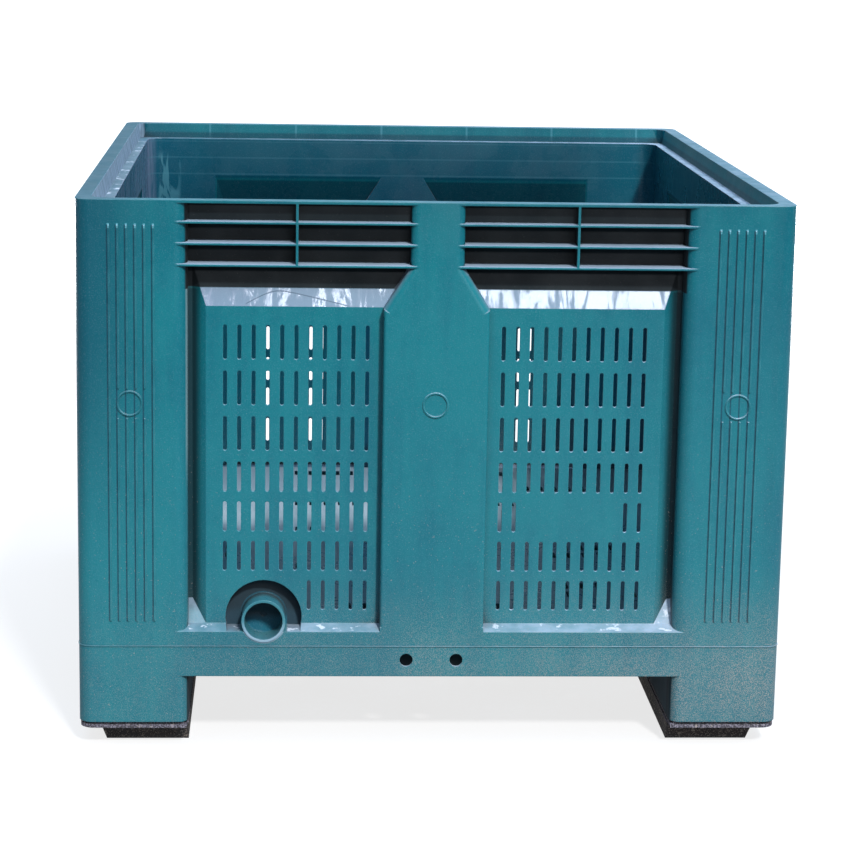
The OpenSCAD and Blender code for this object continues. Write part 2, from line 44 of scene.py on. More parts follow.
# %% [markdown]
# ## The camera
#
# A bin of known size, seen from its short side, gives away where the camera stood:
# the rim's far edge, the feet and the slots all have to land on the right pixels at once.
# One could nudge a camera until it looks right. Here its place and three angles are written down,
# because a long lens from four metres away shows errors of a few millimetres.
# First, yaw, pitch and roll become the directions that the camera calls ahead, right and up.

# %% Where the camera looks
CAMERA_PLACE = Vector((-0.2079, -4.1092, 1.1942))
CAMERA_DEGREES = (3.156, 11.652, -0.989)
yaw, pitch, roll = (math.radians(angle) for angle in CAMERA_DEGREES)

ahead = Vector((
    math.sin(yaw) * math.cos(pitch),
    math.cos(yaw) * math.cos(pitch),
    -math.sin(pitch),
))
level_right = Vector((math.cos(yaw), -math.sin(yaw), 0.0))
level_down = ahead.cross(level_right)
right = level_right * math.cos(roll) + level_down * math.sin(roll)
up = level_right * math.sin(roll) - level_down * math.cos(roll)
print("the camera looks along", [round(part, 3) for part in ahead])

# %% [markdown]
# A Blender camera looks down its own -Z, with +X to the right and +Y up, so the three directions
# are the columns of its matrix. The lens could be given as an angle of view. It is given in pixels,
# because that is what a picture can be measured in, and turned into millimetres for the sensor.

# %% Camera
FRAME_PX = 850
FOCAL_PX = 2575.5
SENSOR_MM = 36.0
CLIP_END = 100.0

lens = bpy.data.cameras.new("bin_camera")
lens.sensor_fit = "HORIZONTAL"
lens.sensor_width = SENSOR_MM
lens.lens = SENSOR_MM * FOCAL_PX / FRAME_PX
lens.clip_end = CLIP_END
camera = bpy.data.objects.new("bin_camera", lens)
bpy.context.scene.collection.objects.link(camera)
axes = Matrix((right, up, -ahead)).transposed().to_4x4()
camera.matrix_world = Matrix.Translation(CAMERA_PLACE) @ axes
bpy.context.scene.camera = camera
bpy.context.scene.view_settings.view_transform = "Standard"
print("lens:", round(lens.lens, 1), "mm")

# %% [markdown]
# ## Node trees in words
#
# A procedural plastic is a chain of small decisions: where is it dusty, where is it rubbed,
# how rough is it. Such a chain could be wired by hand in the shader editor.
# In a script, a class that keeps one material's tree makes each decision a line or two.
# It starts with the facts that every finish asks for: where a point is, in the bin's own metres,
# and which way its face looks.


# %% A material's tree
class Tree:
    """One material's nodes, with the place and the facing of each point."""

    def __init__(self, name):
        self.material = bpy.data.materials.new(name)
        self.material.use_nodes = True
        self.tree = self.material.node_tree
        self.shader = self.tree.nodes["Principled BSDF"]
        self.place = self.new("ShaderNodeTexCoord").outputs["Object"]
        self.normal = self.new("ShaderNodeNewGeometry").outputs["Normal"]
        self.x, self.y, self.z = self.parts_of(self.place)
        self.facing_x, self.facing_y, self.facing_up = self.parts_of(self.normal)

    def new(self, kind):
        return self.tree.nodes.new(kind)

    def join(self, value, socket):
        """Links an output to a socket, or writes a plain number or colour into it."""
        if isinstance(value, bpy.types.NodeSocket):
            self.tree.links.new(value, socket)
        else:
            socket.default_value = value

    def parts_of(self, vector):
        """The x, y and z of a vector."""
        split = self.new("ShaderNodeSeparateXYZ")
        self.join(vector, split.inputs[0])
        return split.outputs

    def math(self, what, a, b=0.0):
        node = self.new("ShaderNodeMath")
        node.operation = what
        self.join(a, node.inputs[0])
        self.join(b, node.inputs[1])
        return node.outputs[0]


print("a tree knows x, y, z and its facing")

# %% [markdown]
# Sums come next. A shader has no variables, so each sum is a node, and a long sum is a row of nodes.
# Writing them as words keeps the later cells short.


# %% Sums
class Sums(Tree):
    """Adds the sums that the finishes need."""

    def chain(self, what, first, *others):
        for other in others:
            first = self.math(what, first, other)
        return first

    def sum_of(self, *values):
        return self.chain("ADD", *values)

    def all_of(self, *shares):
        """Shares multiplied: 1 only where each of them is 1."""
        return self.chain("MULTIPLY", *shares)

    def most_of(self, *shares):
        """The largest of the shares."""
        return self.chain("MAXIMUM", *shares)

    def less(self, a, b):
        return self.math("SUBTRACT", a, b)

    def rest_of(self, share):
        """1 where a share is 0, and 0 where it is 1."""
        return self.less(1.0, share)

    def size_of(self, value):
        return self.math("ABSOLUTE", value)

    def length_of(self, a, b):
        """The long side of a right triangle with the sides a and b."""
        return self.math("POWER", self.sum_of(self.all_of(a, a), self.all_of(b, b)), 0.5)


print("sums:", ", ".join(name for name in vars(Sums) if not name.startswith("_")))

# %% [markdown]
# Most decisions are shares from 0 to 1, and most of them depend on a place: above this height,
# behind that depth. A Map Range node does that, and a noise through a Map Range makes patches.
# A Bevel node tells where the edges are, and an Ambient Occlusion node where it is closed in,
# so that no edge has to be painted by hand.

# %% Shares
EDGE_SAMPLES, SHELTER_SAMPLES = 6, 8
EDGE_TURN = (0.985, 0.80)


class Shares(Sums):
    """Adds shares made from places, noise, edges and shelter."""

    def span(self, value, low, high, to_low=0.0, to_high=1.0, smooth=True):
        """Where value runs from low to high, the result runs from to_low to to_high, and stops."""
        node = self.new("ShaderNodeMapRange")
        node.interpolation_type = "SMOOTHSTEP" if smooth else "LINEAR"
        for socket, number in zip(node.inputs, (value, low, high, to_low, to_high)):
            self.join(number, socket)
        return node.outputs[0]

    def within(self, value, low, high, blur):
        """1 where value lies between low and high, falling to 0 over the blur outside."""
        return self.all_of(self.span(value, low - blur, low), self.span(value, high + blur, high))

    def noise(self, scale, detail=2.0, roughness=0.5, stretch=(1.0, 1.0, 1.0), distortion=0.0):
        mapping = self.new("ShaderNodeMapping")
        mapping.inputs["Scale"].default_value = stretch
        self.join(self.place, mapping.inputs["Vector"])
        node = self.new("ShaderNodeTexNoise")
        self.join(mapping.outputs[0], node.inputs["Vector"])
        node.inputs["Scale"].default_value = scale
        node.inputs["Detail"].default_value = detail
        node.inputs["Roughness"].default_value = roughness
        node.inputs["Distortion"].default_value = distortion
        return node.outputs["Fac"]

    def soft_edges(self, radius):
        """A normal that is rounded near edges, and a share: 1 on the edge and 0 on the flat."""
        bevel = self.new("ShaderNodeBevel")
        bevel.samples = EDGE_SAMPLES
        bevel.inputs["Radius"].default_value = radius
        turn = self.new("ShaderNodeVectorMath")
        turn.operation = "DOT_PRODUCT"
        self.join(bevel.outputs[0], turn.inputs[0])
        self.join(self.normal, turn.inputs[1])
        return bevel.outputs[0], self.span(turn.outputs["Value"], *EDGE_TURN)

    def shelter(self, reach):
        """How closed in a place is: 0 in the open, towards 1 deep in a bay or a corner."""
        node = self.new("ShaderNodeAmbientOcclusion")
        node.samples = SHELTER_SAMPLES
        node.inputs["Distance"].default_value = reach
        return self.rest_of(node.outputs["AO"])


print("edges sampled", EDGE_SAMPLES, "times, shelter", SHELTER_SAMPLES, "times")

# %% [markdown]
# Last come colours and bumps. Colours are easiest to judge as they look on a screen, from 0 to 255,
# but a shader counts light, so a function translates them by the rule that screens follow.


# %% Colours and bumps
class Finish(Shares):
    """Adds colours and bumps, which is all that the bin's finishes need."""

    def tint(self, share, low, high, kind="RGBA"):
        """Colour that goes from low to high as share goes from 0 to 1."""
        node = self.new("ShaderNodeMix")
        node.data_type = kind
        for socket, value in (("Factor", share), ("A", low), ("B", high)):
            self.join(value, node.inputs[socket])
        return node.outputs["Result"]

    def tint_share(self, share, low, high):
        """The same as tint, for plain numbers."""
        return self.tint(share, low, high, kind="FLOAT")

    def bumps(self, height, distance, strength=1.0, under=None):
        node = self.new("ShaderNodeBump")
        node.inputs["Strength"].default_value = strength
        node.inputs["Distance"].default_value = distance
        self.join(height, node.inputs["Height"])
        if under is not None:
            self.join(under, node.inputs["Normal"])
        return node.outputs["Normal"]


def colour(red, green, blue):
    """A colour as it looks on a screen, as the light that a shader counts."""
    def light(v):
        v /= 255.0
        return v / 12.92 if v <= 0.04045 else ((v + 0.055) / 1.055) ** 2.4
    return (light(red), light(green), light(blue), 1.0)


print("middle grey is light of", round(colour(128, 128, 128)[0], 3))

# %% [markdown]
# ## The teal plastic
#
# The walls and the base are one kind of polyethylene, moulded in a petrol teal and used for years.
# Its finish is built up in layers, from the plastic's own tone to the sand on top of it.
# The layers could be painted as an image. Masks made of place, slope and noise follow the solids
# by themselves, so they also hold on the sides that no picture shows.
# Two facts serve nearly all masks: how far a point lies behind the nearest outer face,
# and whether its face looks out of the bin or into it.

# %% Depth and facing
# Half the bin's width and depth, less the 1.5 mm that the beads stand proud
FACE_X, FACE_Y = 0.4985, 0.5985
INSIDE_DEPTH = (0.0385, 0.0395)

plastic = Finish("moulded_teal")
depth = plastic.math(
    "MINIMUM",
    plastic.less(FACE_Y, plastic.size_of(plastic.y)),
    plastic.less(FACE_X, plastic.size_of(plastic.x)),
)
outward = plastic.sum_of(
    plastic.all_of(plastic.x, plastic.facing_x),
    plastic.all_of(plastic.y, plastic.facing_y),
)
inside = plastic.span(depth, *INSIDE_DEPTH)


def note(step):
    """Prints a step's name and how many nodes the plastic has by now."""
    print(step, "made,", len(plastic.tree.nodes), "nodes so far")


note("depth and facing")

# %% [markdown]
# Moulded plastic never has one flat colour. The pigment drifts in wide clouds, runs in faint
# upright streaks and is mottled close up. One noise with much detail would mix all three,
# so each gets a noise of its own, with a weight.

# %% Tone of the moulding
TEAL_DEEP = colour(11, 107, 122)
TEAL_PLAIN = colour(20, 124, 134)
CLOUD_WEIGHT, STREAK_WEIGHT, MOTTLE_WEIGHT = 0.55, 0.30, 0.15
TONE_RANGE = (0.36, 0.62)

clouds = plastic.noise(scale=2.6, detail=4.0, roughness=0.55)
streaks = plastic.noise(
    scale=5.0, detail=3.0, roughness=0.6, stretch=(6.0, 6.0, 0.7), distortion=0.4,
)
mottle = plastic.noise(scale=70.0, detail=4.0, roughness=0.7)
tone = plastic.sum_of(
    plastic.all_of(clouds, CLOUD_WEIGHT),
    plastic.all_of(streaks, STREAK_WEIGHT),
    plastic.all_of(mottle, MOTTLE_WEIGHT),
)
body = plastic.tint(plastic.span(tone, *TONE_RANGE), TEAL_DEEP, TEAL_PLAIN)
note("tone")

# %% [markdown]
# The left corner posts get painted shade, darker towards the top, and the right ones a little of it.
# A lamp could give that from one side, but then the corner would change with the light.

# %% Painted shade on the corners
TEAL_SHADE = colour(12, 80, 98)
LEFT_CORNER_X, LEFT_CORNER_Z, LEFT_SHARE = (-0.36, -0.50), (0.20, 0.62), 0.85
RIGHT_CORNER_X, RIGHT_SHARE = (0.45, 0.50), 0.35

# Painted shade: the corner posts are darkened by place, not by a lamp.
left_corner_shade = plastic.all_of(
    plastic.span(plastic.x, *LEFT_CORNER_X),
    plastic.span(plastic.z, *LEFT_CORNER_Z),
    LEFT_SHARE,
)
right_corner_shade = plastic.all_of(plastic.span(plastic.x, *RIGHT_CORNER_X), RIGHT_SHARE)
body = plastic.tint(plastic.most_of(left_corner_shade, right_corner_shade), body, TEAL_SHADE)
note("painted corner shade")

# %% [markdown]
# Each corner post has six thin upright beads. They are solid in the CAD model, but from afar
# what one sees is the shadow beside each bead and the highlight on its upper end, both painted here.
# The beads stand in a row of equal steps, so the fraction of a division finds them all at once.

# %% Where the beads run
BEAD_PITCH = 0.0122
POST_MIDDLE_X, POST_MIDDLE_Y = 0.4215, 0.490
BEADS_REACH = (0.0360, 0.0355)
LOOKS_OUT = (0.5, 0.6)
ON_FACE = (0.004, 0.002)


def in_row(value, start, pitch):
    """Where a value lies in a row of equal steps: 0 in a step's middle, and half at its ends."""
    steps = plastic.math("DIVIDE", plastic.less(value, start), pitch)
    return plastic.less(plastic.math("FRACT", steps), 0.5)


def beads_along(along, facing, middle):
    """Where posts have beads, and how far a point lies from the middle of the nearest one."""
    away = plastic.less(plastic.size_of(along), middle)
    offset = plastic.all_of(
        in_row(away, 0.0, BEAD_PITCH), BEAD_PITCH, plastic.math("SIGN", along),
    )
    post = plastic.all_of(
        plastic.span(plastic.size_of(away), *BEADS_REACH),
        plastic.span(plastic.size_of(facing), *LOOKS_OUT),
        plastic.span(depth, *ON_FACE),
    )
    return post, offset


beads = (
    beads_along(plastic.x, plastic.facing_y, POST_MIDDLE_X),
    beads_along(plastic.y, plastic.facing_x, POST_MIDDLE_Y),
)
note("places of the beads")

# %% [markdown]
# With the places known, the painted shadow is a dark band beside each bead, and the painted highlight
# a short pale band on its end.
# Both could be thin strips of mesh. As colours in the plastic they can't come loose or flicker.

# %% Painted bead shadows and bead highlights
BEAD_SHADOW = colour(8, 52, 74)
BEAD_LOW, BEAD_HIGH, BEAD_BLUR = 0.185, 0.745, 0.001
BESIDE_BEAD, BESIDE_BLUR, BEAD_SHADOW_SHARE = (-0.0026, -0.0012), 0.0006, 0.75
ON_BEAD, ON_BLUR = (-0.0012, 0.0012), 0.0004
END_LOW, END_HIGH = BEAD_HIGH - 0.0035, BEAD_HIGH + 0.002

# Painted shadow: a dark band beside each bead.
bead_shadows = plastic.most_of(*(
    plastic.all_of(
        post,
        plastic.within(offset, *BESIDE_BEAD, BESIDE_BLUR),
        plastic.within(plastic.z, BEAD_LOW, BEAD_HIGH, BEAD_BLUR),
    )
    for post, offset in beads
))
# Painted highlight: a pale band on the upper end of each bead.
bead_highlights = plastic.most_of(*(
    plastic.all_of(
        post,
        plastic.within(offset, *ON_BEAD, ON_BLUR),
        plastic.within(plastic.z, END_LOW, END_HIGH, BEAD_BLUR),
    )
    for post, offset in beads
))
body = plastic.tint(plastic.all_of(bead_shadows, BEAD_SHADOW_SHARE), body, BEAD_SHADOW)
note("painted bead shadows")

# %% [markdown]
# The drain spigot low in the left panel is handled and knocked more than the wall behind it.
# It could have a material of its own, but it is moulded in one piece with the wall,
# so masks find it instead: rings round its axis, and a block that takes in the whole tube.

# %% Places at the drain
DRAIN_X, DRAIN_Z, TUBE_RADIUS = -0.238, 0.185, 0.032
RING_IN, RING_BLUR = 0.022, 0.001
RING_Y, RING_FACING = (-0.575, -0.58), (-0.5, -0.8)
DRAIN_Y, DRAIN_BLUR = (-0.52, -0.53), 0.003

from_axis = plastic.length_of(
    plastic.less(plastic.x, DRAIN_X), plastic.less(plastic.z, DRAIN_Z),
)
ring = plastic.all_of(
    plastic.within(from_axis, RING_IN, TUBE_RADIUS, RING_BLUR),
    plastic.span(plastic.y, *RING_Y),
    plastic.span(plastic.facing_y, *RING_FACING),
)
drain = plastic.all_of(
    plastic.within(plastic.x, DRAIN_X - TUBE_RADIUS, DRAIN_X + TUBE_RADIUS, DRAIN_BLUR),
    plastic.within(plastic.z, DRAIN_Z - TUBE_RADIUS, DRAIN_Z + TUBE_RADIUS, DRAIN_BLUR),
    plastic.span(plastic.y, *DRAIN_Y),
)
note("places at the drain")

# %% [markdown]
# Years of handling rub the edges pale. Real moulded edges are slightly round as well,
# so they catch a thin line of light. The pale is partly a painted highlight as well: on the slot
# edges, on the lower half of the drain's ring and on the ends of the beads. Rounding the mesh would
# change the CAD solids, so the Bevel node rounds only the shading, and the same node says where the
# rub goes.

# %% Rubbed edges and painted highlights
TEAL_WORN_AND_HIGHLIT = colour(96, 168, 182)
EDGE_RADIUS = 0.0018
CHAFED_NOISE, CHAFED_SHARE = (0.35, 0.65), (0.15, 0.6)
PANEL_FACE, PANEL_BLUR, SLOT_SHARE = (0.0205, 0.0232), 0.0005, 0.55
RING_RUB_AND_LIGHT_Z, RING_RUB_AND_LIGHT = (0.20, 0.165), (0.2, 0.6)

rounded, on_edge = plastic.soft_edges(EDGE_RADIUS)
chafed = plastic.span(plastic.noise(scale=35.0, detail=3.0), *CHAFED_NOISE, *CHAFED_SHARE)
on_panel = plastic.within(depth, *PANEL_FACE, PANEL_BLUR)
# Wear on the edges, and painted highlight on the slot edges, the ring's lower half and the bead ends.
rubbed_and_highlit = plastic.most_of(
    plastic.all_of(on_edge, chafed),
    plastic.all_of(on_edge, on_panel, SLOT_SHARE),
    plastic.all_of(ring, plastic.span(plastic.z, *RING_RUB_AND_LIGHT_Z, *RING_RUB_AND_LIGHT)),
    bead_highlights,
)
body = plastic.tint(rubbed_and_highlit, body, TEAL_WORN_AND_HIGHLIT)
note("rubbed edges")

# %% [markdown]
# Two places are drawn paler than plain rub: the lower half of the drain's ring, in the dust colour,
# and the upper part of the corner post's edge beside the left panel.
# Nothing but their place tells them from other edges, so each is a mask of place and facing.

# %% Pale ring and pale post edge
DUST_AND_SHEEN = colour(172, 194, 216)
PALE_EDGE = colour(158, 180, 182)
RING_PALE_Z, RING_PALE_SHARE = (0.188, 0.166), (0.0, 0.6)
POST_EDGE_X, POST_EDGE_X_BLUR = (-0.3475, -0.340), 0.001
POST_EDGE_DEPTH, POST_EDGE_DEPTH_BLUR = (0.010, 0.034), 0.003
POST_EDGE_FACING = (0.75, 0.95)
POST_EDGE_Z, POST_EDGE_SHARE = (0.36, 0.46), (0.06, 0.62)

# The lower half of the drain's ring is drawn paler, in the dust colour.
pale_ring_half = plastic.all_of(ring, plastic.span(plastic.z, *RING_PALE_Z, *RING_PALE_SHARE))
body = plastic.tint(pale_ring_half, body, DUST_AND_SHEEN)
post_edge = plastic.all_of(
    plastic.span(plastic.facing_x, *POST_EDGE_FACING),
    plastic.within(plastic.x, *POST_EDGE_X, POST_EDGE_X_BLUR),
    plastic.within(depth, *POST_EDGE_DEPTH, POST_EDGE_DEPTH_BLUR),
    plastic.span(plastic.z, *POST_EDGE_Z, *POST_EDGE_SHARE),
)
body = plastic.tint(post_edge, body, PALE_EDGE)
note("pale ring and post edge")

# %% [markdown]
# The inside is painted a deeper, bluer teal, as painted shade where only the sky reaches. Pale
# streaks run down the left wall, partly marks of fruit and water and partly painted highlight, and a
# spill has dried on the back wall next to it.
# Strokes could be drawn one by one. Noises stretched upright give the same run of marks,
# one soft and one with a sharp edge.

# %% Inside of the walls, with painted shade and highlight
TEAL_INSIDE_SHADE = colour(2, 88, 116)
WIPED_AND_HIGHLIT = colour(150, 160, 186)
INSIDE_SHADE_SHARE = 0.6
STREAK_X, STREAK_SHARE, STREAK_NOISE = (-0.44, -0.455), (0.0, 0.68), (0.34, 0.66)
SPILT_X, SPILT_BLUR, SPILT_Y = (-0.436, -0.406), 0.008, (0.50, 0.53)
SPILT_Z, SPILT_NOISE, SPILT_SHARE = (0.735, 0.715), (0.45, 0.51), 0.6

# Painted shade: the whole inside is tinted deeper and bluer.
body = plastic.tint(plastic.all_of(inside, INSIDE_SHADE_SHARE), body, TEAL_INSIDE_SHADE)
runs = plastic.noise(
    scale=9.0, detail=5.0, roughness=0.62, stretch=(7.0, 7.0, 0.6), distortion=0.6,
)
# Pale streaks on the left wall, partly wipe marks and partly painted highlight.
wiped_and_highlit = plastic.all_of(
    inside,
    plastic.span(plastic.x, *STREAK_X, *STREAK_SHARE),
    plastic.span(runs, *STREAK_NOISE),
)
body = plastic.tint(wiped_and_highlit, body, WIPED_AND_HIGHLIT)
spots = plastic.noise(
    scale=16.0, detail=3.0, roughness=0.55, stretch=(3.0, 3.0, 0.7), distortion=0.8,
)
spilt = plastic.all_of(
    inside,
    plastic.within(plastic.x, *SPILT_X, SPILT_BLUR),
    plastic.span(plastic.y, *SPILT_Y),
    plastic.span(plastic.z, *SPILT_Z),
    plastic.span(spots, *SPILT_NOISE),
    SPILT_SHARE,
)
body = plastic.tint(spilt, body, TEAL_WORN_AND_HIGHLIT)
note("inside of the walls")

# %% [markdown]
# Where a rib meets a wall the plastic is thicker, cools more slowly and sinks a little on the
# other side. Those sink marks show as faint pale lines: level ones behind the ribs,
# and short upright ones round the stacking recess. They are too shallow to be worth geometry.

# %% Sink marks
RIB_START, RIB_PITCH = 0.6772, 0.0295
RIB_MARK, RIB_MARK_Z, RIB_MARK_BLUR, RIB_MARK_SHARE = (0.07, 0.02), (0.685, 0.750), 0.002, 0.22
TICK_START, TICK_PITCH = -0.4255, 0.155
TICK_MARK, TICK_Z, TICK_FACING, TICK_SHARE = (0.016, 0.006), (0.756, 0.758), (-0.4, -0.5), 0.45

level_marks = plastic.all_of(
    inside,
    plastic.span(plastic.size_of(in_row(plastic.z, RIB_START, RIB_PITCH)), *RIB_MARK),
    plastic.within(plastic.z, *RIB_MARK_Z, RIB_MARK_BLUR),
    RIB_MARK_SHARE,
)
upright_marks = plastic.all_of(
    plastic.span(plastic.size_of(in_row(plastic.x, TICK_START, TICK_PITCH)), *TICK_MARK),
    plastic.span(plastic.z, *TICK_Z),
    plastic.span(outward, *TICK_FACING),
    TICK_SHARE,
)
body = plastic.tint(plastic.most_of(level_marks, upright_marks), body, TEAL_WORN_AND_HIGHLIT)
note("sink marks")

# %% [markdown]
# The pockets behind the panels and the right wall's inside get painted shade,
# most of all high up and on the right. Shadow alone leaves them too bright,
# because the sky reaches in from above, so a dimmer teal is painted over them.

# %% Dim places inside
TEAL_DIM = colour(7, 52, 70)
DIM_HIGH, DIM_RIGHT = (0.58, 0.65), (0.0, 0.22)
POCKET_DEPTH, POCKET_BLUR = (0.0245, 0.0375), 0.001
POCKET_FACING, POCKET_SHARE = (-0.05, -0.1), 0.6
RIGHT_WALL_X, RIGHT_WALL_SHARE = (0.42, 0.45), 0.65

# Painted shade in the upper and right part of the pockets.
pocket_shade = plastic.all_of(
    plastic.within(depth, *POCKET_DEPTH, POCKET_BLUR),
    plastic.span(outward, *POCKET_FACING),
    plastic.most_of(plastic.span(plastic.z, *DIM_HIGH), plastic.span(plastic.x, *DIM_RIGHT)),
    POCKET_SHARE,
)
# Painted shade on the inside of the right wall.
right_wall_shade = plastic.all_of(inside, plastic.span(plastic.x, *RIGHT_WALL_X), RIGHT_WALL_SHARE)
body = plastic.tint(plastic.most_of(pocket_shade, right_wall_shade), body, TEAL_DIM)
note("dim places")

# %% [markdown]
# Narrow grooves run down both sides of each panel. They get painted shade, nearly black,
# but still green enough to belong to the plastic.
# The painted shade of a later cell would make them grey, so they get a colour of their own first.

# %% Painted shade in the grooves beside the panels
GROOVE_SHADE = colour(1, 36, 44)
GROOVE_FROM, GROOVE_TO = (0.0255, 0.0340), (0.0385, 0.0375)
GROOVE_Z, GROOVE_BLUR = (0.195, 0.652), 0.006
GROOVE_FACING, GROOVE_SHARE = (-0.36, -0.33), 0.92

# Painted shade in the grooves beside the panels.
groove_shade = plastic.all_of(
    plastic.span(depth, *GROOVE_FROM),
    plastic.span(depth, *GROOVE_TO),
    plastic.within(plastic.z, *GROOVE_Z, GROOVE_BLUR),
    plastic.span(outward, *GROOVE_FACING),
    GROOVE_SHARE,
)
body = plastic.tint(groove_shade, body, GROOVE_SHADE)
note("grooves")

# %% [markdown]
# Over each panel lie the sloping roof and the rib bays. They are neighbours with opposite looks:
# the bays and the top of each roof under the lowest rib get painted shade, near black, and the roofs
# below are bright, partly by their gloss and partly by a painted sky reflection.
# Faces could be picked one by one for two materials, but the CAD mesh stays as it is,
# so masks of depth, height and slope find both before the painted shade is laid.

# %% Bays and roofs
PANEL_TOP, ROOF_TOP, ROOF_LIT, ROOF_BLUR = 0.631, 0.689, 0.657, 0.002
ROOF_DEPTH, ROOF_DEPTH_BLUR, ROOF_SLOPE = (0.0205, 0.038), 0.001, (0.15, 0.21)
TOP_BAY_Z, TOP_BAY_DEPTH, TOP_BAY_BLUR = (0.748, 0.779), (0.008, 0.019), 0.003
BAY_TOP, BAY_DEPTH, BAY_BLUR = 0.750, (0.010, 0.038), 0.004
NOT_LEVEL, BAY_FACING, BAY_SHADE_SHARE = (0.75, 0.6), (-0.46, -0.43), 0.97

top_bay = plastic.all_of(
    plastic.within(depth, *TOP_BAY_DEPTH, TOP_BAY_BLUR),
    plastic.within(plastic.z, *TOP_BAY_Z, ROOF_BLUR),
)
lower_bays = plastic.all_of(
    plastic.within(depth, *BAY_DEPTH, BAY_BLUR),
    plastic.within(plastic.z, ROOF_LIT, BAY_TOP, ROOF_BLUR),
)
# Painted shade in the bays, reaching down over the top of each roof below the lowest rib.
bay_shade = plastic.all_of(
    plastic.most_of(top_bay, lower_bays),
    plastic.span(plastic.facing_up, *NOT_LEVEL),
    plastic.span(outward, *BAY_FACING),
    BAY_SHADE_SHARE,
)
roofs = plastic.all_of(
    plastic.within(plastic.z, PANEL_TOP - ROOF_BLUR, ROOF_TOP, ROOF_BLUR),
    plastic.within(depth, *ROOF_DEPTH, ROOF_DEPTH_BLUR),
    plastic.span(plastic.facing_up, *ROOF_SLOPE),
    plastic.span(plastic.z, ROOF_LIT, ROOF_LIT - ROOF_BLUR),
)
note("bays and roofs")

# %% [markdown]
# Painted shade goes wherever it is closed in: the bays, the underside, the cup round the drain,
# and every inner corner. It is a near-black colour instead of shadow from the lamps,
# and the Ambient Occlusion node finds the corners for it. The roofs,
# the grooves and the lower half of the drain are spared, because they have their own look.

# %% Painted shade
SHADE_BLACK = colour(11, 12, 17)
UNDER_Z, UNDER_X, UNDER_DEPTH, UNDER_SHARE = (0.135, 0.125), (0.352, 0.347), (0.006, 0.010), 0.9
CUP_RADII, CUP_BLUR, CUP_DEPTH = (0.0335, 0.054), 0.0008, (0.0235, 0.026)
CUP_Y, CUP_Z, CUP_SHARE = (-0.50, -0.52), (0.180, 0.195), 0.88
SPARED_DRAIN_Z, SPARED_DRAIN = (0.188, 0.174), (0.15, 0.95)
SHELTER_REACH, SHELTERED, CORNER_SHARE = 0.07, (0.40, 0.64), 0.9

# Painted shade under the bin, between the legs.
under = plastic.all_of(
    plastic.span(plastic.z, *UNDER_Z),
    plastic.span(plastic.size_of(plastic.x), *UNDER_X),
    plastic.span(depth, *UNDER_DEPTH),
)
# Painted shade in the cup round the drain.
cup_shade = plastic.all_of(
    plastic.within(from_axis, *CUP_RADII, CUP_BLUR),
    plastic.span(depth, *CUP_DEPTH),
    plastic.span(plastic.y, *CUP_Y),
    plastic.span(plastic.z, *CUP_Z),
    CUP_SHARE,
)
spared_drain = plastic.all_of(drain, plastic.span(plastic.z, *SPARED_DRAIN_Z, *SPARED_DRAIN))
spared = plastic.most_of(roofs, spared_drain, groove_shade)
# Painted shade in inner corners, found by the Ambient Occlusion node.
corners = plastic.all_of(
    plastic.span(plastic.shelter(SHELTER_REACH), *SHELTERED),
    plastic.span(spared, 0.0, 1.0, CORNER_SHARE, 0.0, smooth=False),
)
grime = plastic.most_of(corners, bay_shade, plastic.all_of(under, UNDER_SHARE), cup_shade)
body = plastic.tint(grime, body, SHADE_BLACK)
note("grime")

# %% [markdown]
# The roofs wear a pale lavender tint, partly a grey film and partly a painted sky reflection,
# with polished streaks where water runs, more of them to the right.
# One smooth finish would flash all over at once, so a noise stretched upright draws the streaks.
# They also lower the roughness later, so the bright lamp in front flashes in them.

# %% Film and painted sky reflection on the roofs
ROOF_FILM_AND_SKY = colour(150, 160, 190)
POLISH_X, POLISH_MORE, POLISH_NOISE = (-0.40, 0.35), (-0.06, 0.10), (0.46, 0.60)
FILM_SHARE = (0.60, 0.75)

brushed = plastic.noise(
    scale=13.0, detail=5.0, roughness=0.7, stretch=(5.0, 5.0, 0.45), distortion=0.5,
)
to_the_right = plastic.span(plastic.x, *POLISH_X, *POLISH_MORE, smooth=False)
polish = plastic.span(plastic.sum_of(brushed, to_the_right), *POLISH_NOISE)
# Partly a grey film and partly a painted sky reflection.
roof_film_and_sky = plastic.all_of(roofs, plastic.span(polish, 0.0, 1.0, *FILM_SHARE))
body = plastic.tint(roof_film_and_sky, body, ROOF_FILM_AND_SKY)
note("roof film and painted sky")

# %% [markdown]
# In the left roof a fine arched line shows where two streams of plastic met in the mould.
# It has no height to model. A rounded and leaning arch is written as a sum,
# and whatever lies within a millimetre of it is drawn darker and left dull.

# %% Flow line
FLOW_X, FLOW_TOP, FLOW_ROUND = -0.225, 0.6515, 0.015
FLOW_SLOPE, FLOW_LEAN = 0.40, 0.16
FLOW_WIDTH, FLOW_SHARE = (0.0013, 0.0003), 0.5
FLOW_REACH, FLOW_BLUR, FLOW_Y = (-0.262, -0.125), 0.004, (-0.5, -0.52)

from_top = plastic.less(plastic.x, FLOW_X)
arch = plastic.less(plastic.length_of(from_top, FLOW_ROUND), FLOW_ROUND)
fall = plastic.less(plastic.all_of(arch, FLOW_SLOPE), plastic.all_of(from_top, FLOW_LEAN))
off_line = plastic.size_of(plastic.less(plastic.z, plastic.less(FLOW_TOP, fall)))
flow_line = plastic.all_of(
    roofs,
    plastic.span(off_line, *FLOW_WIDTH),
    plastic.within(plastic.x, *FLOW_REACH, FLOW_BLUR),
    plastic.span(plastic.y, *FLOW_Y),
)
body = plastic.tint(plastic.all_of(flow_line, FLOW_SHARE), body, TEAL_DIM)
polish = plastic.all_of(polish, plastic.rest_of(flow_line))
note("flow line")

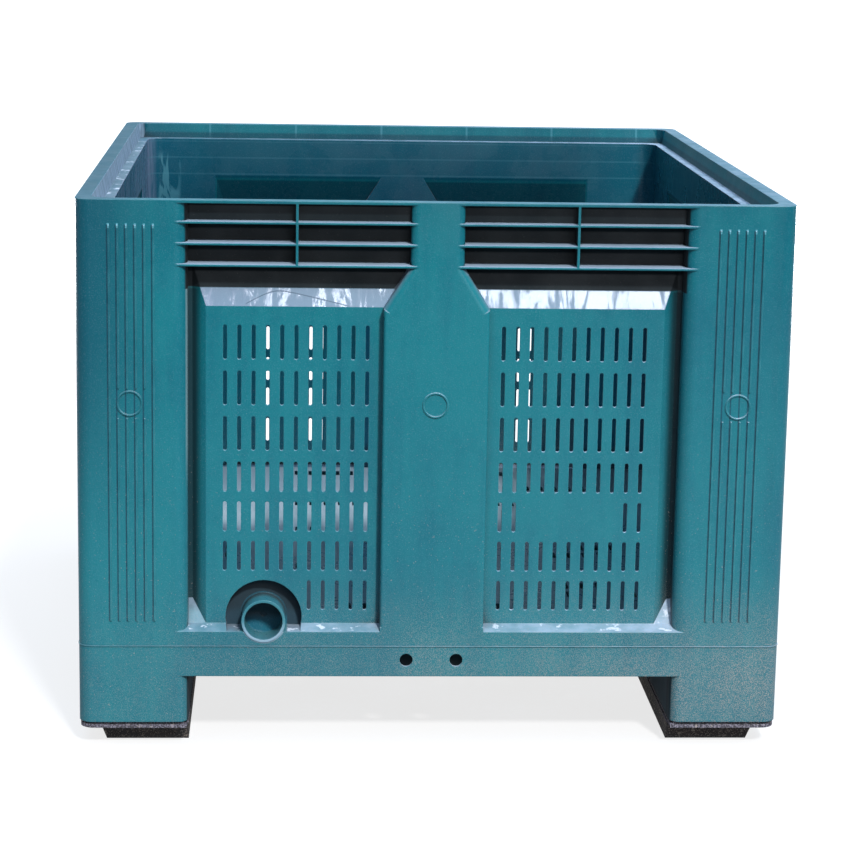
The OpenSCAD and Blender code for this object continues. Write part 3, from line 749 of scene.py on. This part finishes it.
# %% [markdown]
# Field dust settles on what faces up: the ledges under the panels, their slanting facets, the ribs.
# Its pale blue is partly painted sky light on those upward faces.
# There is more of it to the right, and less on the rim, which the next bin rubs clean.
# It could be a thin mesh on top. A share of slope, place and noise needs none and follows
# every ledge. The rounded normal counts as well as the real one, so edges turn dusty softly.

# %% Settled dust and painted sky light
LEVEL = (0.24, 0.80)
FACET_Z, FACET_Z_BLUR = (0.168, 0.212), 0.004
FACET_DEPTH, FACET_DEPTH_BLUR, FACET_SLOPE = (0.004, 0.037), 0.001, (0.06, 0.12)
DRAIN_DUST = 0.15
DRIFT_X, DRIFT_SHARE = (-0.45, 0.45), (0.40, 1.27)
CRUMB_NOISE, CRUMB_SHARE = (0.35, 0.65), (0.72, 1.1)
PATCHY, LEDGE_SHARE, RIB_SHARE = (0.25, 0.75), (0.55, 0.90), (0.82, 1.0)
RIM_Z, RIM_SHARE = (0.765, 0.775), 0.42
RIBS_Z, RIBS_BLUR = (0.680, 0.752), 0.003

patches = plastic.noise(scale=11.0, detail=4.0, roughness=0.6)
facets = plastic.all_of(
    plastic.within(plastic.z, *FACET_Z, FACET_Z_BLUR),
    plastic.within(depth, *FACET_DEPTH, FACET_DEPTH_BLUR),
    plastic.span(plastic.facing_up, *FACET_SLOPE),
)
faces_up = plastic.most_of(plastic.facing_up, plastic.parts_of(rounded)[2])
# Dust, and painted sky light, on what faces up.
level = plastic.all_of(
    plastic.most_of(plastic.span(faces_up, *LEVEL), facets),
    plastic.span(drain, 0.0, 1.0, 1.0, DRAIN_DUST),
)
crumbs = plastic.noise(scale=48.0, detail=3.0, roughness=0.6)
on_ledges = plastic.all_of(
    level,
    plastic.span(plastic.x, *DRIFT_X, *DRIFT_SHARE, smooth=False),
    plastic.span(crumbs, *CRUMB_NOISE, *CRUMB_SHARE),
    plastic.span(patches, *PATCHY, *LEDGE_SHARE),
    plastic.span(plastic.z, *RIM_Z, 1.0, RIM_SHARE),
)
on_ribs = plastic.all_of(
    level,
    plastic.within(plastic.z, *RIBS_Z, RIBS_BLUR),
    plastic.span(patches, *PATCHY, *RIB_SHARE),
)
dust_and_sheen = plastic.most_of(on_ledges, on_ribs)
note("settled dust")

# %% [markdown]
# The floor of the bin is scraped along its length as it is tipped and swept. Pale dust lies towards
# the back and the left, and it also paints a patch of sunlight there; the bare floor at the front
# and the right is dimmed as painted shade. An even layer looks like fog through the slots,
# so a noise stretched along the bin moves the border between dusty and bare floor,
# and draws it out into streaks.

# %% Dust, painted sunlight and painted shade on the floor
FLOOR_DUST_AND_LIGHT = colour(200, 208, 208)
FLOOR_Z = (0.20, 0.18)
STREWN_MIDDLE, STREWN_REACH = 0.5, 0.45
DUSTY_BACK, BACK_SHARE = (-0.06, 0.30), (0.03, 0.92)
DUSTY_LEFT, SIDE_SHARE = (0.02, 0.30), (1.0, 0.12)
BARE_SHADE_SHARE = 0.85

on_floor = plastic.all_of(plastic.span(plastic.z, *FLOOR_Z), inside, plastic.rest_of(drain))
dragged = plastic.noise(scale=9.0, detail=4.0, roughness=0.55, stretch=(3.0, 0.4, 1.0))
strewn = plastic.all_of(plastic.less(dragged, STREWN_MIDDLE), STREWN_REACH)
# Pale dust towards the back and left, which also paints the patch of sunlight there.
swept_dust_and_light = plastic.all_of(
    level,
    plastic.span(plastic.sum_of(plastic.y, strewn), *DUSTY_BACK, *BACK_SHARE),
    plastic.span(plastic.sum_of(plastic.x, strewn), *DUSTY_LEFT, *SIDE_SHARE),
)
dust_and_sheen = plastic.tint_share(on_floor, dust_and_sheen, swept_dust_and_light)
# Painted shade on the bare floor at the front and the right.
bare_floor_shade = plastic.all_of(on_floor, plastic.rest_of(swept_dust_and_light), BARE_SHADE_SHARE)
body = plastic.tint(bare_floor_shade, body, TEAL_DIM)
note("floor dust")

# %% [markdown]
# Inside the left rim, the soles of stacked bins have scraped the plastic pale, in upright strokes.
# Scratches could be bumps, but what shows from afar is their colour, so a noise with short waves
# along the rim draws them. They count as dust, because they are as pale and as dull.

# %% Scraped recess
SCRAPED_NOISE, SCRAPED_SHARE = (0.40, 0.60), (0.35, 0.95)
RECESS_Z, RECESS_X, RECESS_FACING = (0.752, 0.757), (-0.40, -0.45), (0.5, 0.7)

strokes = plastic.noise(scale=16.0, detail=4.0, roughness=0.7, stretch=(0.4, 6.0, 0.4))
recess_side = plastic.all_of(
    plastic.span(plastic.facing_x, *RECESS_FACING),
    plastic.span(plastic.z, *RECESS_Z),
    plastic.span(plastic.x, *RECESS_X),
    plastic.span(strokes, *SCRAPED_NOISE, *SCRAPED_SHARE),
)
dust_and_sheen = plastic.most_of(dust_and_sheen, recess_side)
note("scraped recess")

# %% [markdown]
# Over everything lies a thin film, thicker low down and to the right, with powder in fine specks.
# A film as one flat share would only make the teal paler. The specks keep it looking like dust.

# %% Film and powder
FILM_Z, FILM_LOW = (0.70, 0.20), (0.0, 0.035)
FILM_X, FILM_RIGHT_Z, FILM_RIGHT = (-0.3, 0.4), (0.72, 0.60), 0.015
POWDER_NOISE, POWDER_SHARE = (0.54, 0.66), 0.065

film_right = plastic.all_of(
    plastic.span(plastic.x, *FILM_X), plastic.span(plastic.z, *FILM_RIGHT_Z), FILM_RIGHT,
)
powder = plastic.all_of(
    plastic.span(plastic.noise(scale=560.0, detail=2.0, roughness=0.6), *POWDER_NOISE),
    plastic.rest_of(grime),
    POWDER_SHARE,
)
film = plastic.all_of(
    plastic.sum_of(plastic.span(plastic.z, *FILM_Z, *FILM_LOW), film_right, powder),
    plastic.rest_of(groove_shade),
)
dust_colour = plastic.tint(on_floor, DUST_AND_SHEEN, FLOOR_DUST_AND_LIGHT)
body = plastic.tint(plastic.most_of(dust_and_sheen, film), body, dust_colour)
note("film and powder")

# %% [markdown]
# Here and there the facets under the panels and the ledge of the left recess are polished
# through the dust. A smoother patch would gleam only towards one lamp, and hardly in soft light,
# so the glints are painted as pale highlight patches instead.

# %% Painted gleams
GLINT = colour(228, 237, 250)
NEST_Z, NEST_BLUR, NEST_LEVEL, NEST_X = (0.751, 0.756), 0.001, (0.7, 0.9), (-0.40, -0.44)
GLEAM_NOISE, GLEAM_SHARE = (0.57, 0.64), 0.8

nest_ledge = plastic.all_of(
    plastic.within(plastic.z, *NEST_Z, NEST_BLUR),
    plastic.span(plastic.facing_up, *NEST_LEVEL),
    plastic.span(plastic.x, *NEST_X),
)
# Painted highlight: pale glint patches on the facets and the recess ledge.
gleam = plastic.all_of(
    plastic.most_of(plastic.all_of(facets, plastic.rest_of(drain)), nest_ledge),
    plastic.span(plastic.noise(scale=40.0, detail=3.0, roughness=0.65), *GLEAM_NOISE),
    GLEAM_SHARE,
)
body = plastic.tint(gleam, body, GLINT)
note("gleams")

# %% [markdown]
# Rain throws sand up from the ground, so the legs and the apron are speckled, thicker towards the
# soles and to the right, with stray specks higher up. Each grain could be a tiny mesh,
# but there are far too many, so a fine noise through a Map Range makes them.

# %% Sand
SAND = colour(178, 166, 158)
SAND_Z, SAND_X, SAND_SIDE = (0.28, 0.085), (-0.47, 0.45), (0.20, 0.84)
SAND_NOISE, SAND_MORE = (0.3, 0.7), (0.75, 1.2)
GRAIN_NOISE, GRAIN_SHARE = (0.46, 0.66), (0.06, 0.82)
STRAY_NOISE, STRAY_Z, STRAY_SHARE = (0.715, 0.75), (0.60, 0.1), (0.05, 0.5)

grain = plastic.noise(scale=820.0, detail=1.0, roughness=0.6)
outside = plastic.rest_of(plastic.most_of(under, inside))
thrown = plastic.all_of(
    plastic.span(plastic.z, *SAND_Z),
    plastic.span(plastic.x, *SAND_X, *SAND_SIDE, smooth=False),
    plastic.span(patches, *SAND_NOISE, *SAND_MORE),
    outside,
    plastic.span(grain, *GRAIN_NOISE, *GRAIN_SHARE),
)
stray = plastic.all_of(
    plastic.span(plastic.noise(scale=420.0, detail=1.0), *STRAY_NOISE),
    plastic.span(plastic.z, *STRAY_Z, *STRAY_SHARE),
    outside,
)
sand = plastic.most_of(thrown, stray)
plastic.join(plastic.tint(sand, body, SAND), plastic.shader.inputs["Base Color"])
note("sand")

# %% [markdown]
# Gloss follows the same masks. Clean plastic shines a little, polished streaks on the roofs most,
# and whatever is dusty, painted in shade, sandy or scraped is dull. One roughness for all of it would
# let dust shine like clean plastic. Numbers that really are the same all over,
# such as the index of refraction, are set on the shader itself.

# %% Gloss
HANDLED_NOISE, CLEAN_ROUGH = (0.3, 0.7), (0.22, 0.34)
WORN_SLOPE, WORN_SHARE = (0.1, 0.15), 0.7
DULL_ROUGH = 0.5
ROOF_ROUGH = (0.44, 0.16)
PLASTIC_IOR, PLASTIC_SPECULAR = 1.5, 0.16

handled = plastic.noise(scale=14.0, detail=5.0, roughness=0.65)
worn = plastic.all_of(
    plastic.span(plastic.z, *RECESS_Z), plastic.span(plastic.facing_up, *WORN_SLOPE), WORN_SHARE,
)
dull = plastic.most_of(dust_and_sheen, worn, sand, grime, groove_shade)
rough = plastic.sum_of(
    plastic.span(handled, *HANDLED_NOISE, *CLEAN_ROUGH), plastic.all_of(dull, DULL_ROUGH),
)
rough = plastic.tint_share(roofs, rough, plastic.span(polish, 0.0, 1.0, *ROOF_ROUGH))
plastic.join(rough, plastic.shader.inputs["Roughness"])
plastic.shader.inputs["IOR"].default_value = PLASTIC_IOR
plastic.shader.inputs["Specular IOR Level"].default_value = PLASTIC_SPECULAR
note("gloss")

# %% [markdown]
# Up close a moulding is wavy, drawn in upright lines, and grained. As a mesh that would take
# millions of faces, for heights of a millimetre and less. Three Bump nodes in a row,
# each with its own height in metres, start from the rounded normal, so that edges stay soft.
# The roofs are left without grain, because it would break up their reflection.

# %% Bumps of the plastic
WAVE_HEIGHT, WAVE_STRENGTH = 0.0012, 0.35
DRAWN_HEIGHT, DRAWN_STRENGTH = 0.0006, 0.25
GRAIN_HEIGHT, GRAIN_STRENGTH = 0.00012, 0.5

wavy = plastic.bumps(
    plastic.noise(scale=16.0, detail=2.0), WAVE_HEIGHT, WAVE_STRENGTH, under=rounded,
)
drawn = plastic.bumps(
    plastic.noise(scale=30.0, detail=3.0, stretch=(5.0, 5.0, 0.5)),
    DRAWN_HEIGHT, DRAWN_STRENGTH, under=wavy,
)
grained = plastic.bumps(
    plastic.all_of(grain, plastic.rest_of(roofs)), GRAIN_HEIGHT, GRAIN_STRENGTH, under=drawn,
)
plastic.join(grained, plastic.shader.inputs["Normal"])
teal = plastic.material
note(teal.name)

# %% [markdown]
# ## The soles
#
# The soles are black plastic that has been dragged over gravel: dull, and full of pale grit.
# Their black also stands in for the shade under the overhanging legs.
# A single dark grey would look like a shadow, so grit of two sizes is scattered over it,
# and the shelf on top of each sole carries a lavender layer of its own, partly grit and partly
# painted sky light.

# %% Sole plastic
# Near black, which also stands in for the shade under the overhanging legs.
SOLE_BLACK = colour(22, 20, 24)
SOLE_BROWN = colour(48, 40, 40)
GRIT = colour(170, 158, 146)
SHELF_GRIT_AND_SKY = colour(150, 146, 168)
BROWN_NOISE = (0.35, 0.7)
FINE_GRIT, COARSE_GRIT = (0.55, 0.64), (0.62, 0.69)
GRIT_X, GRIT_SHARE = (-0.4, 0.4), (0.65, 0.95)
SHELF_Z, SHELF_NOISE, SHELF_SHARE = (0.024, 0.028), (0.42, 0.60), (0.05, 0.60)
SOLE_NOISE, SOLE_ROUGH = (0.3, 0.7), (0.62, 0.85)
GRIT_HEIGHT, GRIT_STRENGTH = 0.0005, 0.8

sole = Finish("gritty_black")
browned = sole.span(sole.noise(scale=22.0, detail=4.0), *BROWN_NOISE)
fine = sole.noise(scale=420.0, detail=2.0, roughness=0.7)
coarse = sole.noise(scale=130.0, detail=2.0, roughness=0.6)
grit = sole.all_of(
    sole.most_of(sole.span(fine, *FINE_GRIT), sole.span(coarse, *COARSE_GRIT)),
    sole.span(sole.x, *GRIT_X, *GRIT_SHARE),
)
gritty = sole.tint(grit, sole.tint(browned, SOLE_BLACK, SOLE_BROWN), GRIT)
# Partly grit and partly painted sky light on the shelf.
shelf_grit_and_sky = sole.all_of(sole.span(sole.z, *SHELF_Z), sole.span(fine, *SHELF_NOISE, *SHELF_SHARE))
sole.join(sole.tint(shelf_grit_and_sky, gritty, SHELF_GRIT_AND_SKY), sole.shader.inputs["Base Color"])
sole.join(sole.span(fine, *SOLE_NOISE, *SOLE_ROUGH), sole.shader.inputs["Roughness"])
sole.join(sole.bumps(fine, GRIT_HEIGHT, GRIT_STRENGTH), sole.shader.inputs["Normal"])
print(sole.material.name, "made,", len(sole.tree.nodes), "nodes")

# %% [markdown]
# ## The screws
#
# Zinc-plated screws sit deep in the soles. They hardly show, but a metal with no variation
# would still look wrong from below, so the plating is blotched and a little brown.

# %% Screw steel
ZINC = colour(150, 153, 156)
STAIN = colour(96, 84, 72)
BLOTCH_NOISE, ZINC_ROUGH = (0.42, 0.68), (0.38, 0.66)
ZINC_METALLIC = 0.85
PLATING_HEIGHT, PLATING_STRENGTH = 0.0001, 0.5

steel = Finish("dull_zinc")
blotch = steel.span(steel.noise(scale=90.0, detail=4.0, roughness=0.65), *BLOTCH_NOISE)
plating = steel.bumps(steel.noise(scale=700.0), PLATING_HEIGHT, PLATING_STRENGTH)
steel.join(steel.tint(blotch, ZINC, STAIN), steel.shader.inputs["Base Color"])
steel.join(steel.span(blotch, 0.0, 1.0, *ZINC_ROUGH), steel.shader.inputs["Roughness"])
steel.shader.inputs["Metallic"].default_value = ZINC_METALLIC
steel.join(plating, steel.shader.inputs["Normal"])
print(steel.material.name, "made,", len(steel.tree.nodes), "nodes")

# %% [markdown]
# ## Dressing the solids
#
# The walls and the base share the teal plastic, because they are welded from one material.
# The CAD objects stay as they are. Only their material slots are filled again.

# %% Assign finishes
FINISHES = {
    "wall_frame": teal,
    "base_tray": teal,
    "left_sole": sole.material,
    "right_sole": sole.material,
    "left_sole_screws": steel.material,
    "right_sole_screws": steel.material,
}
for name, finish in FINISHES.items():
    solid = nodes[name]
    solid.data.materials.clear()
    solid.data.materials.append(finish)
    print(name, "wears", finish.name)

# %% [markdown]
# ## Floor, world and lamps
#
# The bin stands on white. A white floor under strong light would glare back up into the rib bays,
# so the floor is a quiet grey, and only the camera and the reflections see it lifted to white.
# A Light Path node tells those rays from the rays that carry light.


# %% Rays that see
def seen_directly(tree):
    """1 for rays from the camera, a reflection or through glass, and 0 for rays that light things."""
    rays = tree.nodes.new("ShaderNodeLightPath")
    seen = rays.outputs["Is Camera Ray"]
    for kind in ("Is Glossy Ray", "Is Transmission Ray"):
        either = tree.nodes.new("ShaderNodeMath")
        either.operation = "MAXIMUM"
        tree.links.new(seen, either.inputs[0])
        tree.links.new(rays.outputs[kind], either.inputs[1])
        seen = either.outputs[0]
    return seen


print("rays that see: camera, glossy, transmission")

# %% [markdown]
# The lift is a little less close to the bin, where its shadow falls, so the shadow still reads.
# Reflections get less of it too, so that the walls don't mirror a glowing ground.
# The floor lies a hair below the soles, because two faces in one plane would flicker.

# %% Floor
FLOOR_SIDE, FLOOR_DROP = 90.0, 0.0003
FLOOR_GREY = (0.24, 0.24, 0.245, 1.0)
LIFT_FROM, LIFT_TO = 0.6, 2.4
LIFT_NEAR, LIFT_FAR, LIFT_MIRRORED = 0.78, 1.0, 0.3

bpy.ops.mesh.primitive_plane_add(size=FLOOR_SIDE, location=(0.0, 0.0, -FLOOR_DROP))
floor = bpy.context.object
floor.name = "floor"
paper = Finish("pale_floor")
paper.shader.inputs["Base Color"].default_value = FLOOR_GREY
paper.shader.inputs["Roughness"].default_value = 1.0
paper.shader.inputs["Specular IOR Level"].default_value = 0.0
mirrored = paper.new("ShaderNodeLightPath").outputs["Is Glossy Ray"]
lift = paper.all_of(
    paper.span(paper.length_of(paper.x, paper.y), LIFT_FROM, LIFT_TO, LIFT_NEAR, LIFT_FAR),
    paper.span(mirrored, 0.0, 1.0, 1.0, LIFT_MIRRORED),
    seen_directly(paper.tree),
)
glow = paper.new("ShaderNodeEmission")
paper.join(lift, glow.inputs["Strength"])
both = paper.new("ShaderNodeAddShader")
paper.join(paper.shader.outputs[0], both.inputs[0])
paper.join(glow.outputs[0], both.inputs[1])
paper.join(both.outputs[0], paper.tree.nodes["Material Output"].inputs["Surface"])
floor.data.materials.append(paper.material)
print("floor:", FLOOR_SIDE, "m")

# %% [markdown]
# The world is white where it is seen. Where it lights things, it is a blue sky from above,
# stronger on the right. An even sky would look into the bays from the front and grey them out;
# a sky from above leaves them dark.

# %% Sky
SKY_COLOUR = (0.60, 0.77, 1.0, 1.0)
SKY_RISE, SKY_EDGE, SKY_TOP = (0.42, 1.0), 0.05, 2.1
SKY_ACROSS, SKY_LEFT, SKY_RIGHT = (-0.6, 0.6), 0.5, 1.6
TO_THE_SIDE, UPWARDS = 0, 2

world = bpy.data.worlds.new("white_world")
bpy.context.scene.world = world
world.use_nodes = True
tree = world.node_tree
sky = tree.nodes["Background"]
sky.inputs["Color"].default_value = SKY_COLOUR
look = tree.nodes.new("ShaderNodeSeparateXYZ")
tree.links.new(tree.nodes.new("ShaderNodeTexCoord").outputs["Generated"], look.inputs[0])
strength = tree.nodes.new("ShaderNodeMath")
strength.operation = "MULTIPLY"
for factor, (direction, numbers) in zip(strength.inputs, (
    (UPWARDS, (*SKY_RISE, SKY_EDGE, SKY_TOP)),
    (TO_THE_SIDE, (*SKY_ACROSS, SKY_LEFT, SKY_RIGHT)),
)):
    step = tree.nodes.new("ShaderNodeMapRange")
    tree.links.new(look.outputs[direction], step.inputs[0])
    for socket, number in zip(list(step.inputs)[1:5], numbers):
        socket.default_value = number
    tree.links.new(step.outputs[0], factor)
tree.links.new(strength.outputs[0], sky.inputs["Strength"])
print("sky from", SKY_EDGE, "to", SKY_TOP)

# %% [markdown]
# A Mix Shader then chooses between the sky and plain white, by the kind of ray.
# A white card behind the bin would do for one view. The world is behind it from every side.

# %% White where it is seen
WHITE = (1.0, 1.0, 1.0, 1.0)

white = tree.nodes.new("ShaderNodeBackground")
white.inputs["Color"].default_value = WHITE
mix = tree.nodes.new("ShaderNodeMixShader")
tree.links.new(seen_directly(tree), mix.inputs["Fac"])
tree.links.new(sky.outputs[0], mix.inputs[1])
tree.links.new(white.outputs[0], mix.inputs[2])
tree.links.new(mix.outputs[0], tree.nodes["World Output"].inputs["Surface"])
print("the world is seen as", WHITE[:3])

# %% [markdown]
# The key lamp works like a wide, soft sun, high in front and a little to the right,
# so the ribs throw their shadows down into the bays. An area lamp could stand there instead,
# but its light would fall off across the bin, and a sun's light is the same everywhere.

# %% Key lamp
KEY_TRAVEL = Vector((-0.31, 1.0, -0.92)).normalized()
KEY_STRENGTH = 3.1
KEY_ANGLE = math.radians(6.0)
KEY_TINT = (1.0, 0.985, 0.955)

key_lamp = bpy.data.lights.new("key_lamp", "SUN")
key_lamp.energy = KEY_STRENGTH
key_lamp.angle = KEY_ANGLE
key_lamp.color = KEY_TINT
key = bpy.data.objects.new("key_lamp", key_lamp)
key.rotation_euler = KEY_TRAVEL.to_track_quat("-Z", "Y").to_euler()
bpy.context.scene.collection.objects.link(key)
print("key of strength", KEY_STRENGTH)

# %% [markdown]
# A card between the key and the open top keeps it off the inside, which then has only the sky,
# as the inside of a deep box has. Turning the key aside would spoil its shadows on the front,
# so a card is held in its way, as in a studio. It is hidden from every ray but the shadow rays.

# %% Card over the open top
CARD_SCALE = (0.90, 1.08, 1.0)
CARD_AWAY, CARD_BACK = 2.5, 0.01

bpy.ops.mesh.primitive_plane_add(size=1.0)
card = bpy.context.object
card.name = "sun_card"
card.scale = CARD_SCALE
card.location = Vector((0.0, CARD_BACK, cad_box[1][2])) - KEY_TRAVEL * CARD_AWAY
card.visible_camera = card.visible_glossy = False
card.visible_diffuse = card.visible_transmission = False
print("card at", [round(v, 2) for v in card.location])

# %% [markdown]
# Two low lamps behind keep the other sides from going black. A brighter sky would do that too,
# but it would also grey out the bays. A strip in front is there for one thing:
# the sloping roofs over the panels mirror its direction and flash. It gives no other light.

# %% Area lamps
BACK_PLACE, BACK_AIM = (2.4, 2.6, 0.45), (0.3, 0.4, 0.4)
BACK_SIZE, BACK_WATTS = (1.4, 0.7), 55.0
STRIP_PLACE, STRIP_AIM = (0.40, -2.6, 1.316), (0.2, -0.57, 0.644)
STRIP_SIZE, STRIP_WATTS, STRIP_TINT = (1.4, 0.13), 72.0, (0.84, 0.92, 1.0)


def area_lamp(name, place, aim, size, power, tint=(1.0, 1.0, 1.0)):
    light = bpy.data.lights.new(name, "AREA")
    light.shape = "RECTANGLE"
    light.size, light.size_y = size
    light.energy = power
    light.color = tint
    stand = bpy.data.objects.new(name, light)
    stand.location = Vector(place)
    stand.rotation_euler = (Vector(aim) - Vector(place)).to_track_quat("-Z", "Y").to_euler()
    stand.visible_camera = False
    bpy.context.scene.collection.objects.link(stand)
    print(name, "of", power, "W")
    return stand


for name, side in (("back_left_lamp", -1.0), ("back_right_lamp", 1.0)):
    place, aim = ((side * x, y, z) for x, y, z in (BACK_PLACE, BACK_AIM))
    area_lamp(name, place, aim, BACK_SIZE, BACK_WATTS)
strip = area_lamp("strip_lamp", STRIP_PLACE, STRIP_AIM, STRIP_SIZE, STRIP_WATTS, STRIP_TINT)
strip.visible_diffuse = False

# %% [markdown]
# ## The size
#
# Nothing in this lesson changes how big the bin is. The box of the CAD solids is printed near the
# start.
